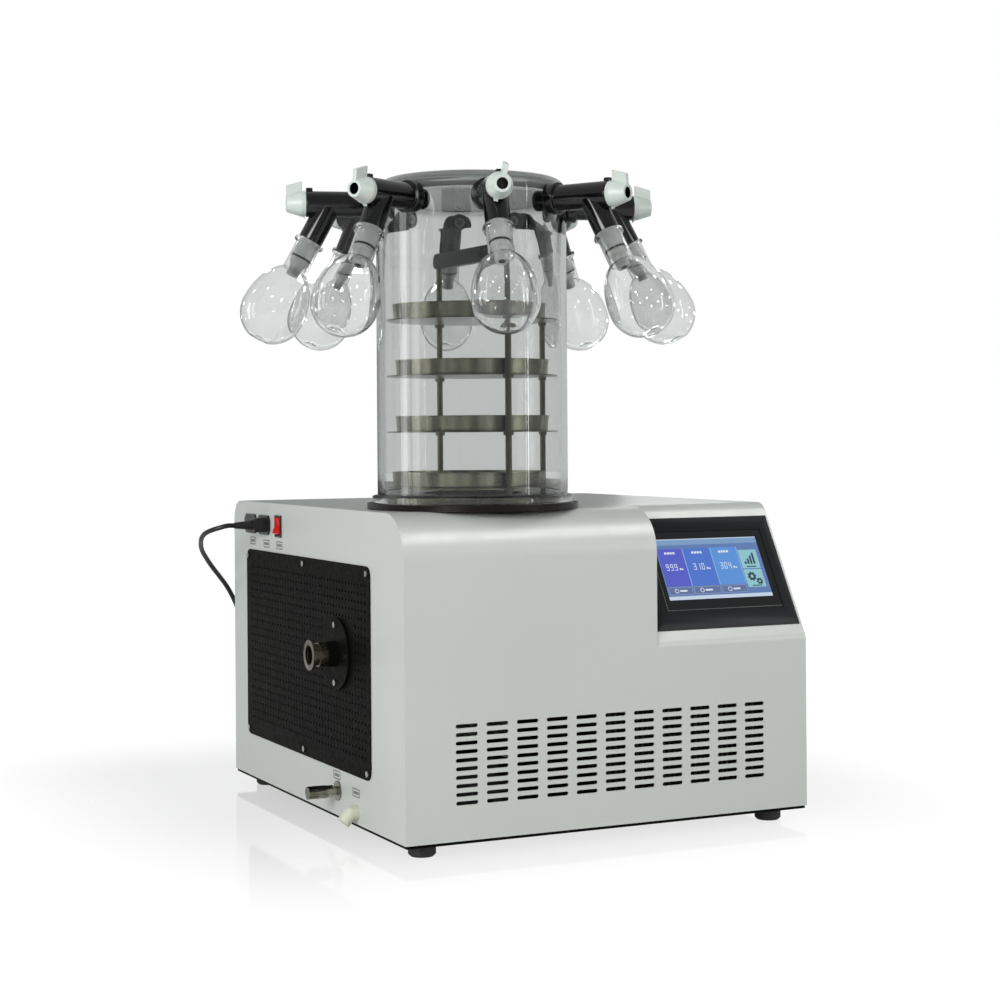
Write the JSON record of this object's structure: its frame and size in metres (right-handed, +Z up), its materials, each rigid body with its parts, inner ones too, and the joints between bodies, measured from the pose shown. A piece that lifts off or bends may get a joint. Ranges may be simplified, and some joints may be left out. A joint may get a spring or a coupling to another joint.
{
  "type": "freeze dryer",
  "caption": "Benchtop freeze dryer: clear drying chamber with shelf trays, ring of valved ports with glass flasks, and a refrigerated base with a touch panel.",
  "frame": {"origin": "centre of the footprint, on the bench", "axes": "+Z up, +X along the front to the right, +Y to the back"},
  "size_m": [0.7166, 0.9334, 0.856],
  "materials": {
    "cabinet_paint": "satin powder coat with fine orange peel",
    "black_coat": "matt black powder coat",
    "screw_steel": "bright plated pan heads",
    "foot_rubber": "matt black rubber",
    "bezel_plastic": "satin black frame",
    "screen_glass": "dark glass over a lit blue display",
    "stainless": "satin stainless steel",
    "rack_steel": "dull stainless steel",
    "tray_steel": "dull spun stainless steel",
    "handle_plastic": "satin black",
    "socket_plastic": "moulded black plastic",
    "rocker_red": "translucent red, lit",
    "nickel": "nickel plate",
    "drain_silicone": "milky silicone",
    "barrel_acrylic": "clear acrylic, polished",
    "gasket_rubber": "black rubber",
    "compressor_paint": "black enamel",
    "condenser_metal": "finned aluminium",
    "fan_plastic": "dark moulded plastic",
    "cord_rubber": "black PVC",
    "valve_rubber": "glossy black rubber",
    "knob_plastic": "satin white plastic",
    "flask_glass": "clear borosilicate glass"
  },
  "bodies": {
    "root": {"base_pan": "black_coat", "left_side_panel": "cabinet_paint", "right_side_panel": "cabinet_paint", "front_top_cover": "cabinet_paint", "rear_panel": "cabinet_paint", "perforated_panel": "black_coat", "panel_screws": "screw_steel", "feet": "foot_rubber", "touch_bezel": "bezel_plastic", "touch_screen": "screen_glass", "vacuum_port_plate": "black_coat", "vacuum_pipe": "stainless", "power_inlet": "socket_plastic", "power_outlet": "socket_plastic", "switch_frame": "socket_plastic", "vent_valve": "nickel", "drain_hose": "drain_silicone", "barrel": "barrel_acrylic", "barrel_gasket": "gasket_rubber", "cold_trap": "stainless", "vapour_tube": "stainless", "rack_frame": "rack_steel", "rack_handle": "handle_plastic", "compressor": "compressor_paint", "condenser": "condenser_metal", "mains_cord": "cord_rubber", "cord_coil": "cord_rubber", "inlet_plug": "cord_rubber", "wall_plug": "cord_rubber", "tray_1": "tray_steel", "tray_2": "tray_steel", "tray_3": "tray_steel", "tray_4": "tray_steel", "valve_body_1": "valve_rubber", "valve_body_2": "valve_rubber", "valve_body_3": "valve_rubber", "valve_body_4": "valve_rubber", "valve_body_5": "valve_rubber", "valve_body_6": "valve_rubber", "valve_body_7": "valve_rubber", "valve_body_8": "valve_rubber", "flask_1": "flask_glass", "flask_2": "flask_glass", "flask_3": "flask_glass", "flask_4": "flask_glass", "flask_5": "flask_glass", "flask_6": "flask_glass", "flask_7": "flask_glass", "flask_8": "flask_glass"},
    "knob_1": {"valve_knob_1": "knob_plastic"},
    "knob_2": {"valve_knob_2": "knob_plastic"},
    "knob_3": {"valve_knob_3": "knob_plastic"},
    "knob_4": {"valve_knob_4": "knob_plastic"},
    "knob_5": {"valve_knob_5": "knob_plastic"},
    "knob_6": {"valve_knob_6": "knob_plastic"},
    "knob_7": {"valve_knob_7": "knob_plastic"},
    "knob_8": {"valve_knob_8": "knob_plastic"},
    "rocker": {"rocker": "rocker_red"},
    "vent_knob": {"vent_knob": "nickel"},
    "fan": {"fan_blades": "fan_plastic"}
  },
  "joints": [
    {"name": "knob_turn_1", "type": "hinge", "parent": "root", "child": "knob_1", "pos_m": [-0.12574, -0.31597, 0.822], "axis": [-0.2756, -0.9613, 0], "range_deg": [0, 180]},
    {"name": "knob_turn_2", "type": "hinge", "parent": "root", "child": "knob_2", "pos_m": [0.03928, -0.29717, 0.822], "axis": [0.4848, -0.8746, 0], "range_deg": [0, 180]},
    {"name": "knob_turn_3", "type": "hinge", "parent": "root", "child": "knob_3", "pos_m": [0.14267, -0.16719, 0.822], "axis": [0.9613, -0.2756, 0], "range_deg": [0, 180]},
    {"name": "knob_turn_4", "type": "hinge", "parent": "root", "child": "knob_4", "pos_m": [0.12387, -0.00217, 0.822], "axis": [0.8746, 0.4848, 0], "range_deg": [0, 180]},
    {"name": "knob_turn_5", "type": "hinge", "parent": "root", "child": "knob_5", "pos_m": [-0.00611, 0.10122, 0.822], "axis": [0.2756, 0.9613, 0], "range_deg": [0, 180]},
    {"name": "knob_turn_6", "type": "hinge", "parent": "root", "child": "knob_6", "pos_m": [-0.17113, 0.08242, 0.822], "axis": [-0.4848, 0.8746, 0], "range_deg": [0, 180]},
    {"name": "knob_turn_7", "type": "hinge", "parent": "root", "child": "knob_7", "pos_m": [-0.27452, -0.04756, 0.822], "axis": [-0.9613, 0.2756, 0], "range_deg": [0, 180]},
    {"name": "knob_turn_8", "type": "hinge", "parent": "root", "child": "knob_8", "pos_m": [-0.25572, -0.21258, 0.822], "axis": [-0.8746, -0.4848, 0], "range_deg": [0, 180]},
    {"name": "rocker_tilt", "type": "hinge", "parent": "root", "child": "rocker", "pos_m": [-0.22373, 0.20072, 0.393], "axis": [0, 1, 0], "range_deg": [-20, 0]},
    {"name": "vent_turn", "type": "hinge", "parent": "root", "child": "vent_knob", "pos_m": [-0.25673, -0.02628, 0.054], "axis": [-1, 0, 0], "range_deg": [0, 360]},
    {"name": "fan_spin", "type": "hinge", "parent": "root", "child": "fan", "pos_m": [0.19527, -0.18528, 0.131], "axis": [0, 1, 0], "continuous": true}
  ]
}
